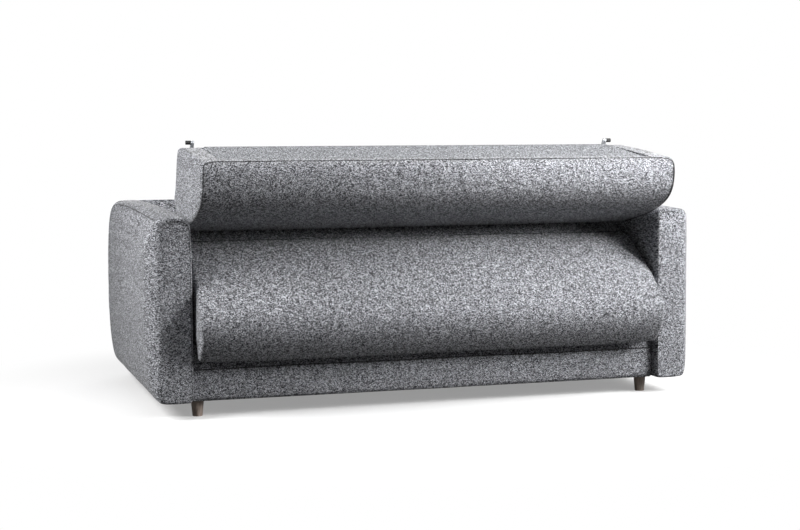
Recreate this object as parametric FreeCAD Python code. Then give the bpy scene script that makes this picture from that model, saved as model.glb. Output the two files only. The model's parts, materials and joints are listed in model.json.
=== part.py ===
"""Sofa bed, half unfolded: the seat is tipped forward and the back is folded down over it.

Millimetres, +Z up, the front of the sofa faces -Y. The rest pose is the photographed one.
"""
import FreeCAD, Part
import math
import os

from FreeCAD import Vector

# Overall sizes of the fixed body
inner_half_width = 760.0
arm_width = 135.0
outer_half_width = inner_half_width + arm_width
body_depth = 1000.0
ground_gap = 50.0
arm_height = 612.0
rear_height = 628.0
rear_thickness = 38.0
arm_depth = body_depth - rear_thickness

# Arm padding: crown of the top, bulge of the outer side, roundings and the board inside
arm_crown = 10.0
arm_bulge = 9.0
arm_top_round = 24.0
arm_foot_round = 26.0
arm_front_round = 30.0
arm_padding = 22.0

# Front and rear panels
panel_front = 30.0
panel_thickness = 25.0
panel_top = 222.0
panel_padding = 5.0
panel_board_top = 140.0
panel_notch_drop = 42.0
rear_padding = 8.0

# Steel of the base and of the folding frame
tube_width = 40.0
tube_height = 25.0
tube_wall = 2.0
plate = 4.0
side_rail_bottom = 100.0
lug_radius = 16.0
pin_radius = 5.0
pin_clearance = 0.05
side_gap = 1.0
cut_over = 2.0
soft_gap = 0.4
panel_half_width = inner_half_width - side_gap

# Wooden legs
leg_length = 50.0
leg_top_radius = 20.0
leg_foot_radius = 15.0
leg_inset = 22.0
leg_x = inner_half_width - leg_inset
leg_block = 46.0

# Seat unit in its own plane: s runs from front to rear, t stands square to it
seat_angle = 36.0
seat_origin_y = 5.0
seat_origin_z = 214.0
unit_clearance = 12.0
seat_half_width = inner_half_width - unit_clearance
seat_front = 50.0
seat_length = 590.0
seat_thick = 137.0
seat_rear_thick = 108.0
seat_lip_drop = 22.0
seat_lip_thick = 28.0
seat_end_pull = 7.0
seat_end_round = 30.0
frame_inset = 70.0
frame_half_width = inner_half_width - frame_inset
pad_inset = 6.0
bed_half_width = frame_half_width - pad_inset
pad_thick = 42.0
mesh_thick = 3.0
bed_tube = 22.0
cushion_floor = 72.0

# Pocket at each end of the seat for the swing arms, and slot for the feet
pocket_wall = 24.0
pocket_width = 36.0
pocket_outer = inner_half_width - pocket_wall
pocket_inner = pocket_outer - pocket_width
pocket_front = 28.0
pocket_rear = 250.0
pocket_top = 124.0
foot_slot_wall = 31.0
foot_slot_width = 33.0
foot_slot_outer = inner_half_width - foot_slot_wall
foot_slot_inner = foot_slot_outer - foot_slot_width

# Folding axes, as places (y, z) in the rest pose
opening_centre_y = -36.0
opening_centre_z = 272.0
seat_axis_radius = 115.0
seat_axis_angle = -27.0
arm_axis_radius = 152.0
open_turn = 144.0
tilt_range = 36.0
back_axis_y = 390.0
back_axis_z = 686.0
closed_back_axis_y = 668.0
closed_back_axis_z = 268.0
back_fold = 92.0
back_slope = 8.0
swing_arm_width = 16.0
tilt_plate_width = 20.0
tilt_plate_inset = 38.0
swing_arm_inset = 46.0
seat_lug_inset = 54.0
foot_inset = 60.0
ear_inset = 72.0
tilt_plate_x = inner_half_width - tilt_plate_inset
swing_arm_x = inner_half_width - swing_arm_inset
seat_lug_x = inner_half_width - seat_lug_inset
foot_x = inner_half_width - foot_inset
ear_x = inner_half_width - ear_inset

# Feet of the opened bed
foot_tip_y = 290.0
foot_tip_z = 828.0
foot_width = 12.0
foot_channel = 10.0
foot_pin_radius = 4.0
foot_pin_length = 12.0
cap_radius = 6.5
cap_length = 15.5

# Back unit
back_half_width = inner_half_width - unit_clearance
back_front = 140.0
bed_side_y = 140.0
bed_side_z = 807.0
back_core_y = 60.0
back_core_z = 700.0
back_end_pull = 6.0
back_end_round = 28.0
back_pad_front = 85.0
back_pad_rear = 235.0
foot_reach = 190.0

# Head section inside the base
head_front = 165.0
head_rear_room = 100.0
head_inset = 80.0
head_rear = body_depth - head_rear_room
head_half_width = inner_half_width - head_inset
head_bottom = 176.0
head_link_length = 130.0
head_link_low = 5.0
head_link_inset = 63.0
head_link_x = inner_half_width - head_link_inset
head_link_width = 18.0
head_link_front_y = 230.0
head_link_room = 200.0
head_link_rear_y = head_rear - head_link_room

frame_y = (back_front - body_depth) / 2
PARTS = "parts"


def turned(y, z, angle):
    """A point (y, z) turned by angle degrees about the origin, from +Y towards +Z."""
    a = math.radians(angle)
    return (y * math.cos(a) - z * math.sin(a), y * math.sin(a) + z * math.cos(a))


def polar(centre, radius, angle):
    """The point at a radius and an angle from a centre."""
    y, z = turned(radius, 0, angle)
    return (centre[0] + y, centre[1] + z)


def angle_of(start, end):
    """The angle in degrees of the line from start to end."""
    return math.degrees(math.atan2(end[1] - start[1], end[0] - start[0]))


# The seat turns by open_turn about the opening centre: H is its pivot, P the arm's pivot
opening_centre = (opening_centre_y, opening_centre_z)
seat_axis = polar(opening_centre, seat_axis_radius, seat_axis_angle)
arm_axis = polar(opening_centre, arm_axis_radius, seat_axis_angle + open_turn / 2)
seat_axis_open = polar(opening_centre, seat_axis_radius, seat_axis_angle + open_turn)
arm_turn = angle_of(arm_axis, seat_axis_open) - angle_of(arm_axis, seat_axis)
if arm_turn > 0:
    arm_turn -= 2 * math.degrees(math.pi)
tilt_axis = seat_axis


def foot_axis_place():
    """The feet's axis on the seat, from where the back's axis lies when the sofa is closed."""
    gy, gz = closed_back_axis_y - tilt_axis[0], closed_back_axis_z - tilt_axis[1]
    cy, cz = turned(tilt_axis[0], tilt_axis[1], -tilt_range)
    jy, jz = turned(back_axis_y, back_axis_z, -back_fold)
    ry, rz = gy + cy - jy, gz + cz - jz
    a, b = math.radians(-tilt_range), math.radians(-back_fold)
    m = math.cos(a) - math.cos(b)
    n = math.sin(a) - math.sin(b)
    size = m * m + n * n
    return ((m * ry + n * rz) / size, (m * rz - n * ry) / size)


foot_axis = foot_axis_place()
back_axis = (back_axis_y, back_axis_z)
foot_tip = (foot_tip_y, foot_tip_z)


def wire(x, points):
    """A closed outline in the plane at x, through points (y, z)."""
    corners = [Vector(x, y, z) for y, z in points]
    return Part.makePolygon(corners + corners[:1])


def prism(x0, x1, points):
    """A solid of one side outline from x0 to x1."""
    return Part.Face(wire(x0, points)).extrude(Vector(x1 - x0, 0, 0))


def box(x0, x1, y0, y1, z0, z1):
    """A rectangular block between two corners."""
    return Part.makeBox(x1 - x0, y1 - y0, z1 - z0, Vector(x0, y0, z0))


def rod(x0, x1, centre, radius):
    """A round bar along X."""
    return Part.makeCylinder(radius, x1 - x0, Vector(x0, centre[0], centre[1]), Vector(1, 0, 0))


def bar(x0, x1, start, end, width):
    """A flat bar with round ends from start to end."""
    length = math.hypot(end[0] - start[0], end[1] - start[1])
    dy, dz = (end[0] - start[0]) / length, (end[1] - start[1]) / length
    ny, nz = -dz * width / 2, dy * width / 2
    outline = [(start[0] + ny, start[1] + nz), (end[0] + ny, end[1] + nz),
               (end[0] - ny, end[1] - nz), (start[0] - ny, start[1] - nz)]
    body = prism(x0, x1, outline)
    return body.fuse([rod(x0, x1, start, width / 2), rod(x0, x1, end, width / 2)]).removeSplitter()


def joined(*shapes):
    """One solid of shapes that touch or overlap."""
    return shapes[0].fuse(list(shapes[1:])).removeSplitter()


def mirrored(shape):
    """The same piece on the other side of the sofa."""
    return shape.mirror(Vector(0, 0, 0), Vector(1, 0, 0))


def in_seat(shape):
    """Moves a piece drawn as y = s, z = t into the tilted seat."""
    moved = shape.copy()
    moved.rotate(Vector(0, 0, 0), Vector(1, 0, 0), seat_angle)
    moved.translate(Vector(0, seat_origin_y, seat_origin_z))
    return moved


def cushion(half_width, points, centre, pull, end_round):
    """A padded block: one side outline along X, drawn in towards each end in two steps."""
    reach = max(math.hypot(y - centre[0], z - centre[1]) for y, z in points)
    half = 1 / 2
    steps = [(half_width, pull), (half_width - end_round * half, pull * half / 2),
             (half_width - end_round * 2, 0)]
    wires = []
    for x, draw in [(-x, d) for x, d in steps] + [(x, d) for x, d in reversed(steps)]:
        share = 1 - draw / reach
        drawn = [(centre[0] + (y - centre[0]) * share, centre[1] + (z - centre[1]) * share)
                 for y, z in points]
        wires.append(wire(x, drawn))
    return Part.makeLoft(wires, True, True)


def bored(shape, centre, radius, x0, x1):
    """The piece with a round hole along X."""
    return shape.cut(rod(x0 - cut_over, x1 + cut_over, centre, radius))


def frame_ring(half_width, y0, y1, z0, z1, tube):
    """A rectangular ring of square tube, as a solid outline."""
    outer = box(-half_width, half_width, y0, y1, z0, z1)
    return outer.cut(box(-half_width + tube, half_width - tube, y0 + tube, y1 - tube,
                         z0 - cut_over, z1 + cut_over))


def arm_outline(y, shrink):
    """The arm's front outline at a depth y, drawn in by shrink."""
    x0 = inner_half_width + shrink
    x1 = outer_half_width - shrink
    z0 = ground_gap
    z1 = arm_height - shrink
    belly = arm_bulge
    crown = arm_crown
    points = [(x0 + crown, z0), (x1 - arm_foot_round, z0), (x1 - belly, z0 + arm_foot_round),
              (x1, (z0 + z1) / 2), (x1 - crown / 2, z1 - arm_top_round),
              (x1 - arm_top_round, z1 - crown / 4), ((x0 + x1) / 2, z1),
              (x0 + crown, z1 - crown / 2), (x0, z1 - arm_top_round), (x0, z0 + arm_top_round)]
    corners = [Vector(x, y, z) for x, z in points]
    return Part.makePolygon(corners + corners[:1])


def arm_pieces():
    """Board core and padded cover of the right arm."""
    ends = [(0, arm_front_round / 2), (arm_front_round / 4, arm_front_round / 6),
            (arm_front_round, 0), (arm_depth - arm_front_round, 0),
            (arm_depth, arm_front_round / 4)]
    padded = Part.makeLoft([arm_outline(y, shrink) for y, shrink in ends], True, True)
    core = box(inner_half_width + arm_padding, outer_half_width - arm_padding * 2,
               arm_front_round + arm_padding, arm_depth - arm_padding,
               ground_gap, arm_height - arm_padding * 2)
    return core, padded.cut(core)


def rear_pieces():
    """Board and padded cover of the fixed rear panel, between the arms' rear ends."""
    y1 = body_depth
    y0 = y1 - rear_thickness
    padded = box(-outer_half_width, outer_half_width, y0, y1, ground_gap, rear_height)
    edges = [e for e in padded.Edges
             if abs(e.CenterOfMass.z - rear_height) < rear_padding
             or abs(abs(e.CenterOfMass.x) - outer_half_width) < rear_padding]
    padded = padded.makeFillet(rear_padding, [e for e in edges if e.CenterOfMass.y > y0 + rear_padding])
    board = box(-inner_half_width, inner_half_width, y0 + rear_padding, y1 - rear_padding,
                ground_gap, rear_height - rear_padding * 2)
    return board, padded.cut(board)


def front_pieces():
    """Board and cover of the front panel."""
    y1 = panel_front + panel_thickness
    cover = box(-panel_half_width, panel_half_width, panel_front, y1, ground_gap, panel_top)
    front = [e for e in cover.Edges if e.CenterOfMass.y < panel_front + cut_over]
    cover = cover.makeFillet(panel_padding, front)
    board = box(-panel_half_width + panel_padding * 2, panel_half_width - panel_padding * 2,
                panel_front + panel_padding, y1, ground_gap + panel_padding, panel_board_top)
    notches = []
    for side in (-1, 1):
        inner, outer = sorted((side * pocket_inner, side * pocket_outer))
        notches.append(box(inner, outer, panel_front - cut_over, y1 + cut_over,
                           panel_top - panel_notch_drop, panel_top + cut_over))
    return board.cut(notches), cover.cut([board] + notches)


def side_rail():
    """Square steel tube between the front panel and the rear panel, screwed to the right arm."""
    y0 = panel_front + panel_thickness
    y1 = body_depth - rear_thickness
    z0 = side_rail_bottom
    x1 = inner_half_width
    x0 = x1 - tube_height
    tube = box(x0, x1, y0, y1, z0, z0 + tube_width)
    return tube.cut(box(x0 + tube_wall, x1 - tube_wall, y0 - cut_over, y1 + cut_over,
                        z0 + tube_wall, z0 + tube_width - tube_wall))


def cross_rail(y0):
    """Square steel tube across the base, between the two side rails."""
    half = inner_half_width - tube_height
    z0 = side_rail_bottom
    tube = box(-half, half, y0, y0 + tube_height, z0, z0 + tube_width)
    return tube.cut(box(-half - cut_over, half + cut_over, y0 + tube_wall,
                        y0 + tube_height - tube_wall, z0 + tube_wall, z0 + tube_width - tube_wall))


def wooden_leg(x, y):
    """Short turned leg, a little thinner at the floor."""
    return Part.makeCone(leg_foot_radius, leg_top_radius, leg_length, Vector(x, y, 0))


def leg_corner_block(y):
    """Corner block under the right side rail, which carries a leg."""
    return box(leg_x - leg_block, inner_half_width - side_gap, y, y + leg_block,
               ground_gap, side_rail_bottom)


def tilt_bracket():
    """Bracket of the right side rail that holds the seat's tilt axis."""
    x0 = tilt_plate_x + plate + side_gap
    x1 = x0 + plate
    base_z = side_rail_bottom + tube_width
    y0 = tilt_axis[0] - lug_radius / 2
    y1 = tilt_axis[0] + lug_radius * 3
    post = prism(x0, x1, [(y0, base_z), (y1, base_z), (tilt_axis[0] + lug_radius / 2, tilt_axis[1]),
                          (y0, tilt_axis[1])])
    lug = rod(x0, x1, tilt_axis, lug_radius * 3 / 5)
    flange = box(x0, inner_half_width, y0, y1, base_z, base_z + plate)
    bracket = joined(post, lug, flange)
    return bored(bracket, tilt_axis, pin_radius + pin_clearance, x0, x1)


def tilt_plate():
    """Right plate of the tilting frame: from the tilt axis up to the swing arm's axis."""
    x0 = tilt_plate_x
    x1 = x0 + plate
    body = bar(x0, x1, tilt_axis, arm_axis, tilt_plate_width)
    tilt_pin = rod(x1, x1 + side_gap + plate, tilt_axis, pin_radius)
    arm_pin = rod(swing_arm_x, x0, arm_axis, pin_radius)
    return joined(body, tilt_pin, arm_pin)


def swing_arm():
    """Right swing arm: hangs from the tilt plate and carries the seat's lug."""
    x0 = swing_arm_x
    x1 = x0 + plate
    body = bar(x0, x1, arm_axis, seat_axis, swing_arm_width)
    body = bored(body, arm_axis, pin_radius + pin_clearance, x0, x1)
    pin = rod(seat_lug_x, x0, seat_axis, pin_radius)
    return joined(body, pin)


def seat_lug():
    """Right side plate of the seat's steel frame, down to the pivot of the swing arm."""
    x0 = seat_lug_x
    x1 = x0 + plate
    s0, t0 = turned(seat_axis[0] - seat_origin_y, seat_axis[1] - seat_origin_z, -seat_angle)
    strap = prism(x0, x1, [(s0 - lug_radius * 3 / 4, t0), (s0 + lug_radius * 3 / 4, t0),
                           (s0 + lug_radius * 3, pad_thick + bed_tube),
                           (s0 - lug_radius / 2, pad_thick + bed_tube)])
    tab = box(frame_half_width, x1, s0 - lug_radius / 2, s0 + lug_radius * 3,
              pad_thick, pad_thick + plate)
    lug = rod(x0, x1, (s0, t0), lug_radius * 3 / 4)
    piece = joined(strap, tab, lug)
    return in_seat(bored(piece, (s0, t0), pin_radius + pin_clearance, x0, x1))


def foot_lug():
    """Right side lug of the seat's frame that carries the foot's axis."""
    s0, t0 = turned(foot_axis[0] - seat_origin_y, foot_axis[1] - seat_origin_z, -seat_angle)
    x0 = frame_half_width
    x1 = foot_x - side_gap
    block = box(x0, x1, s0 - lug_radius, s0 + lug_radius, t0 - lug_radius / 2, pad_thick + bed_tube)
    pin = rod(x1, foot_x + foot_channel, (s0, t0), pin_radius)
    return in_seat(joined(block, pin))


def seat_outline():
    """Side outline of the upholstered seat: lip, rolled front, crown and fallen rear edge."""
    return [(-seat_front + seat_lip_drop / 4, -seat_lip_drop), (-seat_front + seat_lip_thick, -seat_lip_drop),
            (-seat_front + seat_lip_thick, 0), (seat_length - 5 * soft_gap, 0),
            (seat_length, seat_rear_thick / 5), (seat_length - 10 * cut_over / 2, seat_rear_thick * 3 / 5),
            (seat_length - seat_end_round, seat_rear_thick * 4 / 5),
            (seat_length - seat_end_round * 2, seat_rear_thick - 4 * cut_over),
            (seat_length * 3 / 4, seat_rear_thick - cut_over),
            (seat_length * 2 / 3, seat_rear_thick), (seat_length * 3 / 5, seat_rear_thick + 5 * cut_over),
            (seat_length / 2, seat_thick), (seat_length / 8, seat_thick),
            (0 - seat_front / 5, seat_thick - 3 * cut_over), (-seat_front * 4 / 5, seat_thick * 3 / 4),
            (-seat_front, seat_thick * 2 / 5)]


def seat_pieces():
    """The seat's frame, mesh, mattress pad and cushion."""
    front = pocket_front - plate
    ring = frame_ring(frame_half_width, front, seat_length - bed_tube, pad_thick, pad_thick + bed_tube, bed_tube)
    mesh = box(-frame_half_width + bed_tube, frame_half_width - bed_tube,
               front + bed_tube, seat_length - bed_tube * 2, pad_thick + plate, pad_thick + plate + mesh_thick)
    pad = box(-bed_half_width, bed_half_width, front + soft_gap, seat_length - bed_tube,
              0, pad_thick - soft_gap)
    block = cushion(seat_half_width, seat_outline(), (seat_length / 2, cushion_floor),
                    seat_end_pull, seat_end_round)
    hollow = box(-pocket_inner, pocket_inner, front - soft_gap, seat_length - bed_tube + soft_gap,
                 -cut_over, cushion_floor)
    cuts = [hollow]
    for side in (-1, 1):
        inner, outer = sorted((side * pocket_inner, side * pocket_outer))
        cuts.append(box(inner, outer, pocket_front, pocket_rear, -seat_lip_drop * 2, pocket_top))
        inner, outer = sorted((side * foot_slot_inner, side * foot_slot_outer))
        s0, t0 = turned(foot_axis[0] - seat_origin_y, foot_axis[1] - seat_origin_z, -seat_angle)
        cuts.append(box(inner, outer, s0 - lug_radius * 2, seat_length + cut_over,
                        -seat_lip_drop * 2, seat_thick))
    return [in_seat(piece) for piece in (ring, mesh, pad, block.cut(cuts))]


def foot_plate():
    """Right foot of the opened bed: a tapered channel with the back's axis half way."""
    x0 = foot_x
    x1 = x0 + foot_channel
    lower = bar(x0, x1, foot_axis, back_axis, foot_width * 2)
    upper = bar(x0, x1, back_axis, foot_tip, foot_width)
    body = joined(lower, upper)
    body = bored(body, foot_axis, pin_radius + pin_clearance, x0, x1)
    body = bored(body, back_axis, pin_radius + pin_clearance, x0, x1)
    pin = rod(x1, x1 + foot_pin_length, foot_tip, foot_pin_radius)
    return joined(body, pin)


def foot_cap():
    """Rubber cap on the right foot's outward pin."""
    x1 = foot_x + foot_channel + foot_pin_length + plate
    x0 = x1 - cap_length
    cap = rod(x0, x1, foot_tip, cap_radius)
    return cap.cut(rod(x0 - cut_over, x1 - plate, foot_tip, foot_pin_radius))


def back_outline():
    """Side outline of the upholstered back in the rest pose, folded over the seat."""
    return [(262, 563), (90, 594), (-41, 625), (-105, 652), (-134, 696), (-back_front, 740),
            (-121, 769), (-80, 778), (bed_side_y, bed_side_z), (278, 823), (298, 806), (315, 755), (345, 690),
            (380, 636)]


def back_line(y):
    """Height of the back's flat bed side at a depth y."""
    return bed_side_z + (y - bed_side_y) * math.tan(math.radians(back_slope))


def in_back(shape):
    """Moves a piece drawn flat, with its top at zero, onto the back's bed side."""
    moved = shape.copy()
    moved.rotate(Vector(0, 0, 0), Vector(1, 0, 0), back_slope)
    moved.translate(Vector(0, 0, back_line(0)))
    return moved


def back_ear():
    """Right hinge ear of the back's steel frame, out to the back's axis."""
    x0 = ear_x
    x1 = x0 + plate
    end = (back_pad_rear, back_line(back_pad_rear) - pad_thick - bed_tube / 2)
    body = bar(x0, x1, back_axis, end, swing_arm_width)
    pin = rod(x1, foot_x + foot_channel, back_axis, pin_radius)
    return joined(body, pin)


def back_pieces():
    """The back's frame, mesh, mattress pad and cushion."""
    y0 = -back_pad_front
    y1 = back_pad_rear
    half = ear_x
    top = -pad_thick
    ring = in_back(frame_ring(half, y0, y1, top - bed_tube, top, bed_tube))
    mesh = in_back(box(-half + bed_tube, half - bed_tube, y0 + bed_tube, y1 - bed_tube,
                       top - plate - mesh_thick, top - plate))
    pad = in_back(box(-half + plate, half - plate, y0, y1, top + soft_gap, -plate))
    centre = (back_core_y, back_core_z)
    block = cushion(back_half_width, back_outline(), centre, back_end_pull, back_end_round)
    cuts = [in_back(box(-half - soft_gap, half + soft_gap, y0 - soft_gap, y1 + soft_gap,
                        top - bed_tube - soft_gap, pad_thick))]
    for side in (-1, 1):
        inner, outer = sorted((side * foot_slot_inner, side * foot_slot_outer))
        cuts.append(rod(inner, outer, back_axis, foot_reach))
        inner, outer = sorted((side * (ear_x - side_gap), side * foot_slot_inner))
        end = (back_pad_rear, back_line(back_pad_rear) - pad_thick - bed_tube / 2)
        cuts.append(bar(inner, outer, back_axis, end, swing_arm_width + foot_width))
    return ring, mesh, pad, block.cut(cuts)


def head_pieces():
    """Frame, mesh and mattress pad of the head section, low inside the base."""
    z0 = head_bottom
    ring = frame_ring(head_half_width, head_front, head_rear, z0, z0 + bed_tube, bed_tube)
    mesh = box(-head_half_width + bed_tube, head_half_width - bed_tube, head_front + bed_tube,
               head_rear - bed_tube, z0 + bed_tube - plate - mesh_thick, z0 + bed_tube - plate)
    pad = box(-head_half_width, head_half_width, head_front, head_rear,
              z0 + bed_tube + soft_gap, z0 + bed_tube + pad_thick)
    return ring, mesh, pad


def head_link(base_y):
    """Right lifting link of the head section: base pin at base_y, low at rest."""
    start = (base_y, head_bottom + bed_tube / 2 - head_link_length * math.sin(math.radians(head_link_low)))
    end = polar(start, head_link_length, head_link_low)
    return start, end


def head_link_piece(base_y):
    """The right link with its two pins."""
    start, end = head_link(base_y)
    x0 = head_link_x - plate
    x1 = head_link_x
    body = bar(x0, x1, start, end, head_link_width)
    body = bored(body, end, pin_radius + pin_clearance, x0, x1)
    pin = rod(x1, head_link_x + side_gap * 2 + plate, start, pin_radius)
    return joined(body, pin)


def head_link_bracket(base_y):
    """Bracket of the right side rail for a lifting link."""
    start = head_link(base_y)[0]
    x0 = head_link_x + side_gap
    x1 = inner_half_width - tube_height
    base_z = side_rail_bottom
    ear = joined(rod(x0, x0 + plate, start, lug_radius * 3 / 4),
                 box(x0, x0 + plate, start[0] - lug_radius * 3 / 4, start[0] + lug_radius * 3 / 4,
                     base_z, start[1]))
    ear = bored(ear, start, pin_radius + pin_clearance, x0, x0 + plate)
    shelf = box(x0, x1, start[0] - lug_radius * 3 / 4, start[0] + lug_radius * 3 / 4, base_z, base_z + plate)
    return joined(ear, shelf)


def head_pin(base_y):
    """Pins on the head section's frame that the links turn on, both sides."""
    end = head_link(base_y)[1]
    right = rod(head_half_width, head_link_x, end, pin_radius)
    return [right, mirrored(right)]


def export(name, shape):
    """Writes one node, moved to the part's own origin."""
    moved = shape.copy()
    moved.translate(Vector(0, frame_y, 0))
    solids = moved.Solids
    out = solids[0] if len(solids) == 1 else Part.makeCompound(solids)
    out.exportStep(os.path.join(PARTS, name + ".step"))
    print(name, len(solids), "solids", round(out.Volume / 1000), "cm3", "valid" if out.isValid() else "INVALID")


def both(name, shape):
    """Writes a right piece and its mirror image."""
    export(name + "_right", shape)
    export(name + "_left", mirrored(shape))


def main():
    """Builds and writes every node."""
    os.makedirs(PARTS, exist_ok=True)
    core, cover = arm_pieces()
    both("arm_board", core)
    both("arm_cover", cover)
    board, cover = rear_pieces()
    export("rear_board", board)
    export("rear_cover", cover)
    board, cover = front_pieces()
    export("front_board", board)
    export("front_cover", cover)
    both("side_rail", side_rail())
    front_rail_y = panel_front + panel_thickness
    rear_rail_y = body_depth - rear_thickness - tube_height
    export("front_rail", cross_rail(front_rail_y))
    export("rear_rail", cross_rail(rear_rail_y))
    corners = {"front": front_rail_y, "rear": rear_rail_y - leg_block}
    blocks = []
    for place, y in corners.items():
        both(place + "_leg", wooden_leg(leg_x, y + leg_block / 2))
        blocks.append(leg_corner_block(y))
    blocks += [mirrored(block) for block in blocks]
    export("corner_blocks", Part.makeCompound(blocks))
    both("tilt_bracket", tilt_bracket())
    both("tilt_plate", tilt_plate())
    both("swing_arm", swing_arm())
    ring, mesh, pad, block = seat_pieces()
    export("seat_frame", ring)
    export("seat_mesh", mesh)
    export("seat_mattress", pad)
    export("seat_cushion", block)
    both("seat_lug", seat_lug())
    both("foot_lug", foot_lug())
    both("bed_foot", foot_plate())
    both("foot_cap", foot_cap())
    ring, mesh, pad, block = back_pieces()
    export("back_frame", ring)
    export("back_mesh", mesh)
    export("back_mattress", pad)
    export("back_cushion", block)
    both("back_ear", back_ear())
    ring, mesh, pad = head_pieces()
    pins = head_pin(head_link_front_y) + head_pin(head_link_rear_y)
    export("head_frame", ring)
    export("head_pins", Part.makeCompound(pins))
    export("head_mesh", mesh)
    export("head_mattress", pad)
    for place, y in (("front", head_link_front_y), ("rear", head_link_rear_y)):
        both("head_link_" + place, head_link_piece(y))
    brackets = [head_link_bracket(y) for y in (head_link_front_y, head_link_rear_y)]
    brackets += [mirrored(piece) for piece in brackets]
    export("head_brackets", Part.makeCompound(brackets))
    print("AXES", "tilt", tilt_axis, "arm", arm_axis, "foot", foot_axis, "back", back_axis,
          "head", head_link(head_link_front_y), head_link(head_link_rear_y),
          "arm_turn", arm_turn, "frame_y", frame_y)


main()
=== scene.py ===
"""A tweed sofa bed half way through its first fold, dressed around its steel frame.

Metres throughout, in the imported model's own frame: the front faces -Y and the floor is z = 0.
"""

import json
import logging
import math
from dataclasses import dataclass
from enum import Enum

import bmesh
import bpy
import numpy as np
from mathutils import Matrix, Vector

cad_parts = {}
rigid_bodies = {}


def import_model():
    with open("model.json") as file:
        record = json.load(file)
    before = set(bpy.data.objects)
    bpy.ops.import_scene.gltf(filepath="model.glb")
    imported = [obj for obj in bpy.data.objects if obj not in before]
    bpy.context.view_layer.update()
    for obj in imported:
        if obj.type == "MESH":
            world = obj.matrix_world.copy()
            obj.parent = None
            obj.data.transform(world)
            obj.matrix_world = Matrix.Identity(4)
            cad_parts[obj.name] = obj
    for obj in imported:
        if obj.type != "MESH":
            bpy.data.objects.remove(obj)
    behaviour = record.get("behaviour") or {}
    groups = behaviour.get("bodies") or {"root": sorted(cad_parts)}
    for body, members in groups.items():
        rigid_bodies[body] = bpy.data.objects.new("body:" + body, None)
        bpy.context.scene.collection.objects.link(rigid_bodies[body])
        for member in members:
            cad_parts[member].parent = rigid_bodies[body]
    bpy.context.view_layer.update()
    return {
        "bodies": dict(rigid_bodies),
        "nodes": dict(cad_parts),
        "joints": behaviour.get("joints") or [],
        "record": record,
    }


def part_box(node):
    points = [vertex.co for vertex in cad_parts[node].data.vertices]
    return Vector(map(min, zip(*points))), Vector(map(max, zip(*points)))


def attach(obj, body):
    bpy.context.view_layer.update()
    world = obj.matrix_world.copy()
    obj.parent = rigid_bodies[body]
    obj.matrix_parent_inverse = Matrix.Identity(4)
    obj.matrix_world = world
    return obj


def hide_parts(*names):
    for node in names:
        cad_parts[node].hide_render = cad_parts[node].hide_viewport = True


LOG = logging.getLogger("sofa_bed")
MM = 0.001
FRAME_Y = -0.430
SEED = 1753

# Layers of the mechanism across the sofa, as x from its middle
SEAT_POCKET_X = (0.700, 0.736)
FOOT_SLOT_X = (0.696, 0.729)
EAR_SLOT_X = (0.687, 0.6965)
ARM_BOARD_X = (0.782, 0.851)
PAD_RECESS_X = 0.6884
SEAT_RECESS_X = 0.700
PANEL_RECESS_X = 0.7505
REAR_RECESS_X = 0.7605
PAD_HALF_WIDTH = 0.682

# How far a cutting tool runs past the face that it opens
CUT_PAST = 0.020
# The mean length of the padding's shallow wrinkles
WRINKLE_WAVE = 0.160
# The bottom line of every upholstered box, above the floor
GAP_BELOW = 0.050
CLEAR_INSIDE = 0.760
OUTER_FACE = 0.896

Pair = tuple[float, float]
Triple = tuple[float, float, float]


class Side(Enum):
    """The two ends of the sofa, as seen from the front."""

    LEFT = -1
    RIGHT = 1

    def span(self, layer: Pair) -> Pair:
        """A layer's x range on this side.

        Args:
            layer: its near and far x from the middle, both positive.

        Returns:
            The same range on this side, low end first.
        """
        low, high = sorted(self.value * x for x in layer)
        return low, high


def linear(hex_colour: str, alpha: float = 1.0) -> tuple[float, float, float, float]:
    """Turns an sRGB hex colour into linear light.

    Args:
        hex_colour: six hex digits.
        alpha: the opacity.

    Returns:
        Linear red, green, blue and alpha.
    """
    digits = hex_colour.lstrip("#")
    srgb = np.array([int(digits[i:i + 2], 16) / 255 for i in (0, 2, 4)])
    light = np.where(srgb <= 0.04045, srgb / 12.92, ((srgb + 0.055) / 1.055) ** 2.4)
    return (float(light[0]), float(light[1]), float(light[2]), alpha)


def node(tree: bpy.types.NodeTree, kind: str, settings: dict | None = None,
         **links: object) -> bpy.types.Node:
    """Adds a shader node with its settings and links.

    Args:
        tree: the material's node tree.
        kind: the node's type name.
        settings: attributes of the node, set before its sockets.
        links: socket name, with spaces as underscores, to a value or an output socket. A name
            such as i0 is the socket's number.

    Returns:
        The new node.
    """
    made = tree.nodes.new(kind)
    for key, value in (settings or {}).items():
        setattr(made, key, value)
    for key, value in links.items():
        name = key.replace("_", " ")
        numbered = name[0] == "i" and name[1:].isdigit()
        socket = made.inputs[int(name[1:]) if numbered else name]
        if isinstance(value, bpy.types.NodeSocket):
            tree.links.new(value, socket)
        else:
            socket.default_value = value
    return made


def ramp(tree: bpy.types.NodeTree, fac: bpy.types.NodeSocket,
         stops: list[tuple[float, str]]) -> bpy.types.NodeSocket:
    """Adds a colour ramp through hex colours.

    Args:
        tree: the material's node tree.
        fac: the number that picks the colour.
        stops: positions and hex colours, in order.

    Returns:
        The colour socket.
    """
    made = node(tree, "ShaderNodeValToRGB", Fac=fac)
    elements = made.color_ramp.elements
    while len(elements) < len(stops):
        elements.new(0.5)
    for element, (place, colour) in zip(elements, stops):
        element.position = place
        element.color = linear(colour)
    return made.outputs["Color"]


def new_material(name: str) -> tuple[bpy.types.Material, bpy.types.NodeTree, bpy.types.Node,
                                     bpy.types.NodeSocket]:
    """Starts a node material.

    Args:
        name: the material's name.

    Returns:
        The material, its tree, its shader and the Object coordinate socket.
    """
    material = bpy.data.materials.new(name)
    material.use_nodes = True
    tree = material.node_tree
    shader = tree.nodes["Principled BSDF"]
    coords = tree.nodes.new("ShaderNodeTexCoord").outputs["Object"]
    return material, tree, shader, coords


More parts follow.
